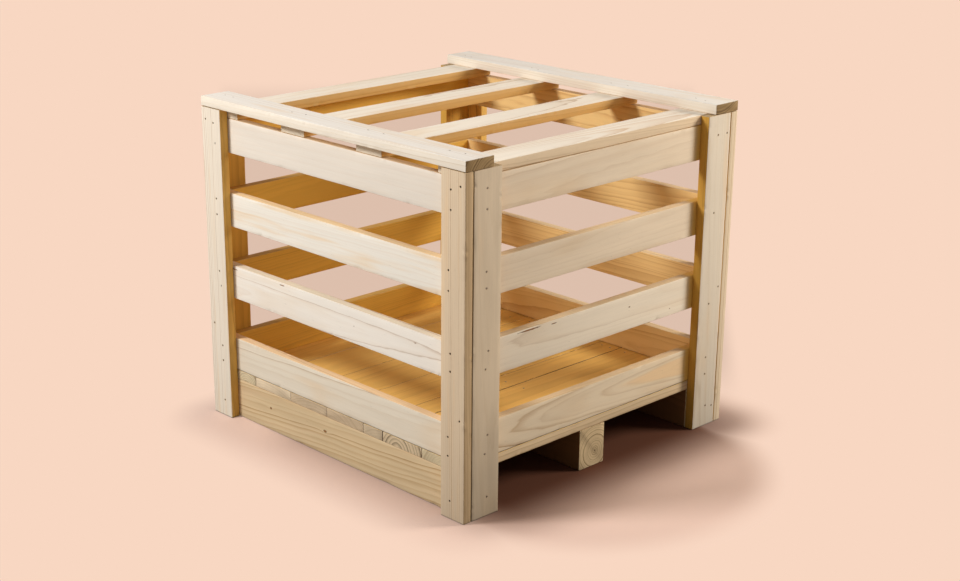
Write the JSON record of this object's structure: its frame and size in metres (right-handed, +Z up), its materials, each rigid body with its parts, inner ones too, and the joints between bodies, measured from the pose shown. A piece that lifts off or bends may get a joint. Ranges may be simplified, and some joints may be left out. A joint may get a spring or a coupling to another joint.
{
  "type": "slatted wooden transport crate",
  "caption": "Open slatted pine crate on skids with two-way fork entries, lapped corner boards, a board deck and a slatted lid that lifts off.",
  "frame": {"origin": "on the ground, at the middle of the footprint", "axes": "+X along the skids towards the right-hand fork entry, -Y towards the front, +Z up"},
  "size_m": [0.816, 0.8, 0.7256],
  "materials": {
    "skid_pine": "sawn, matt, unfinished pine",
    "deck_pine": "sawn, matt, unfinished pine",
    "post_pine": "planed, matt, unfinished pine",
    "slat_pine": "planed, matt, unfinished pine",
    "lid_pine": "planed, matt, unfinished pine"
  },
  "bodies": {
    "crate": {"skid_front": "skid_pine", "skid_middle": "skid_pine", "skid_rear": "skid_pine", "deck_board_1": "deck_pine", "deck_board_2": "deck_pine", "deck_board_3": "deck_pine", "deck_board_4": "deck_pine", "deck_board_5": "deck_pine", "deck_board_6": "deck_pine", "deck_board_7": "deck_pine", "front_left_face_board": "post_pine", "front_left_side_board": "post_pine", "front_right_face_board": "post_pine", "front_right_side_board": "post_pine", "rear_left_face_board": "post_pine", "rear_left_side_board": "post_pine", "rear_right_face_board": "post_pine", "rear_right_side_board": "post_pine", "front_slat_1": "slat_pine", "front_slat_2": "slat_pine", "front_slat_3": "slat_pine", "front_slat_4": "slat_pine", "rear_slat_1": "slat_pine", "rear_slat_2": "slat_pine", "rear_slat_3": "slat_pine", "rear_slat_4": "slat_pine", "left_slat_1": "slat_pine", "left_slat_2": "slat_pine", "left_slat_3": "slat_pine", "left_slat_4": "slat_pine", "right_slat_1": "slat_pine", "right_slat_2": "slat_pine", "right_slat_3": "slat_pine", "right_slat_4": "slat_pine"},
    "lid": {"lid_board_1": "lid_pine", "lid_board_2": "lid_pine", "lid_board_3": "lid_pine", "lid_board_4": "lid_pine", "lid_rail_front": "lid_pine", "lid_rail_rear": "lid_pine"}
  },
  "joints": [
    {"name": "lid_lift", "type": "slide", "parent": "crate", "child": "lid", "axis": [0, 0, 1], "range_m": [0, 0.3]}
  ]
}
